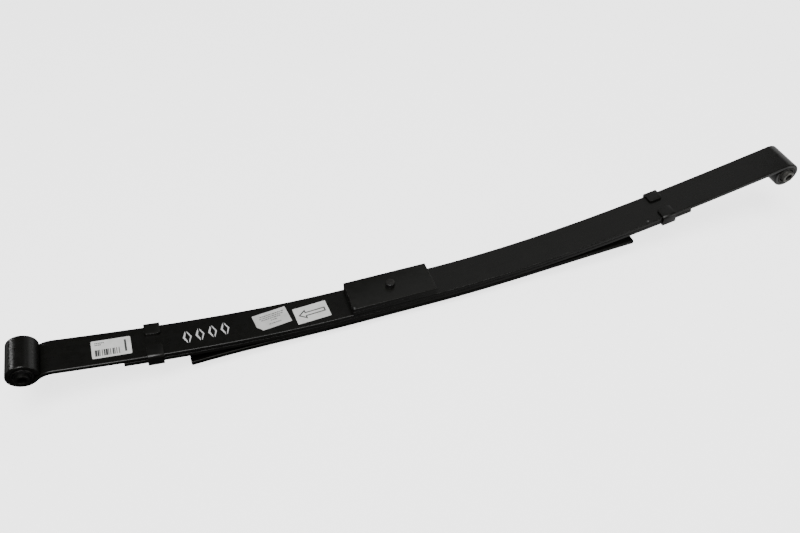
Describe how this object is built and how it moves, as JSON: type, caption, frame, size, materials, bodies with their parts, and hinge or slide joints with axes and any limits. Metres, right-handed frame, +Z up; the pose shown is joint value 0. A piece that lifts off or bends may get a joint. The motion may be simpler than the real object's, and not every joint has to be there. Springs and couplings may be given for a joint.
{
  "type": "leaf spring",
  "caption": "Multi-leaf truck spring with a rolled eye and rubber bush at each end, rebound clips, a centre bolt, a spacer and a flat helper leaf.",
  "frame": {"origin": "centre of the flat top of the centre bolt's head, on the centre bolt's axis", "axes": "+X along the spring from the front eye to the rear eye, +Y across it, +Z up out of the axle seat"},
  "size_m": [1.4173, 0.0776, 0.1422],
  "materials": {
    "black_paint": "satin",
    "blackened_steel": "satin",
    "plated_steel": "satin",
    "rubber": "matte",
    "label_paper": "matte"
  },
  "bodies": {
    "seat_pack": {"main_leaf_seat": "black_paint", "second_leaf_seat": "black_paint", "helper_leaf_seat": "black_paint", "spacer_plate_upper": "black_paint", "spacer_plate_lower": "black_paint", "centre_bolt": "blackened_steel", "centre_nut": "blackened_steel", "position_label": "label_paper"},
    "front_arm": {"main_leaf_front": "black_paint", "second_leaf_front": "black_paint", "front_clip": "black_paint", "front_clip_rivet": "blackened_steel", "front_bush_shell": "blackened_steel", "front_bush_rubber": "rubber", "barcode_label": "label_paper", "note_label": "label_paper"},
    "rear_arm": {"main_leaf_rear": "black_paint", "second_leaf_rear": "black_paint", "rear_clip": "black_paint", "rear_clip_rivet": "blackened_steel", "rear_bush_shell": "blackened_steel", "rear_bush_rubber": "rubber"},
    "helper_front_arm": {"helper_leaf_front": "black_paint"},
    "helper_rear_arm": {"helper_leaf_rear": "black_paint"},
    "front_sleeve": {"front_bush_sleeve": "plated_steel"},
    "rear_sleeve": {"rear_bush_sleeve": "plated_steel"}
  },
  "joints": [
    {"name": "front_bend", "type": "hinge", "parent": "seat_pack", "child": "front_arm", "pos_m": [-0.20569, 0, -0.02788], "axis": [0, -1, 0], "range_deg": [0, 9], "stiffness_Nm_per_rad": 3100},
    {"name": "rear_bend", "type": "hinge", "parent": "seat_pack", "child": "rear_arm", "pos_m": [0.25344, 0, -0.02389], "axis": [0, 1, 0], "range_deg": [0, 9], "stiffness_Nm_per_rad": 2300},
    {"name": "helper_front_bend", "type": "hinge", "parent": "seat_pack", "child": "helper_front_arm", "pos_m": [-0.14536, 0, -0.04435], "axis": [0, -1, 0], "range_deg": [0, 2.5]},
    {"name": "helper_rear_bend", "type": "hinge", "parent": "seat_pack", "child": "helper_rear_arm", "pos_m": [0.17491, 0, -0.04293], "axis": [0, 1, 0], "range_deg": [0, 4]},
    {"name": "front_bush_twist", "type": "hinge", "parent": "front_arm", "child": "front_sleeve", "pos_m": [-0.58938, 0, 0.03138], "axis": [0, 1, 0], "range_deg": [-20, 20], "stiffness_Nm_per_rad": 30},
    {"name": "rear_bush_twist", "type": "hinge", "parent": "rear_arm", "child": "rear_sleeve", "pos_m": [0.77999, 0, 0.05608], "axis": [0, 1, 0], "range_deg": [-20, 20], "stiffness_Nm_per_rad": 30}
  ],
  "couplings": [
    {"joint": "helper_front_bend", "follows": "front_bend", "ratio": 0.26},
    {"joint": "helper_rear_bend", "follows": "rear_bend", "ratio": 0.42}
  ]
}
